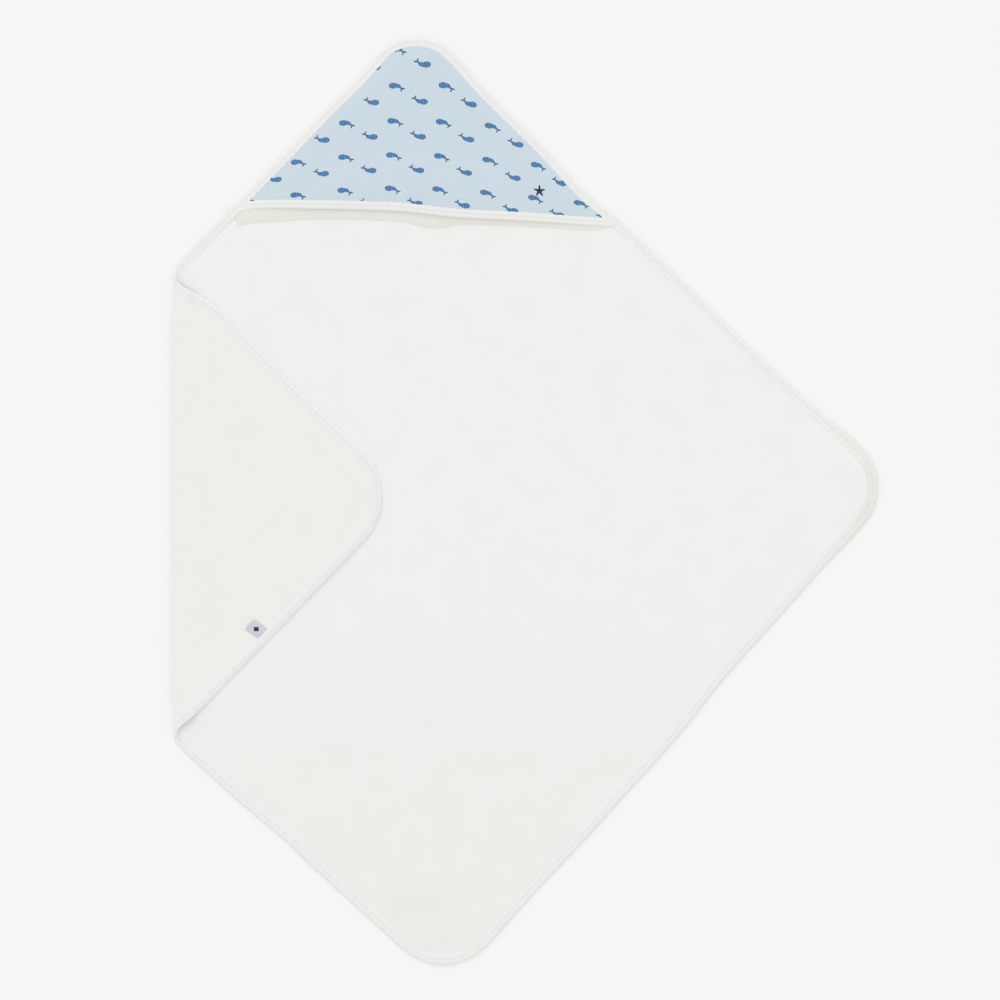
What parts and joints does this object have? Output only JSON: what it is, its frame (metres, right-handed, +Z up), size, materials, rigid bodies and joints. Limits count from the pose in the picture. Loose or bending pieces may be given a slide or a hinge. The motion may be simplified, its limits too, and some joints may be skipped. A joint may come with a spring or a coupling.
{
  "type": "hooded baby towel",
  "caption": "Square terry baby towel with a printed corner hood, a taped edge and a sewn-in label, laid flat with one corner folded back.",
  "frame": {"origin": "on the surface that the towel lies on, in the middle of the laid towel's width and length", "axes": "+Y towards the hood's corner, +X away from the folded corner, +Z up out of the face"},
  "size_m": [0.7733, 1.0125, 0.0142],
  "materials": {
    "terry": "off-white cotton terry, short loops on the back and a smooth brushed face",
    "edge_tape": "off-white folded knit tape",
    "thread": "off-white sewing thread",
    "hood_print": "pale blue knit printed with small blue sea animals",
    "label": "pale woven satin ribbon",
    "emblem": "navy embroidery thread"
  },
  "bodies": {
    "towel": {"towel_panel": "terry", "edge_binding_main": "edge_tape", "edge_topstitch_main": "thread", "hood_seam_allowance": "hood_print"},
    "corner_flap": {"corner_flap_panel": "terry", "edge_binding_flap": "edge_tape", "edge_topstitch_flap": "thread"},
    "hood": {"hood_print_panel": "hood_print", "hood_lining": "terry", "hood_hem_binding": "edge_tape", "hood_hem_topstitch": "thread", "hood_emblem": "emblem"},
    "label": {"woven_label": "label", "label_motif": "emblem"}
  },
  "joints": [
    {"name": "corner_fold", "type": "hinge", "parent": "towel", "child": "corner_flap", "pos_m": [-0.3868, -0.005, 0.0045], "axis": [0, -1, 0], "range_deg": [0, 180]},
    {"name": "hood_lift", "type": "hinge", "parent": "towel", "child": "hood", "pos_m": [-0.1225, 0.49581, 0.0033], "axis": [-1, 0, 0], "range_deg": [0, 13]},
    {"name": "label_flip", "type": "hinge", "parent": "corner_flap", "child": "label", "pos_m": [-0.28698, -0.14519, 0.0099], "axis": [0.6962, 0.7178, 0], "range_deg": [0, 150]}
  ]
}
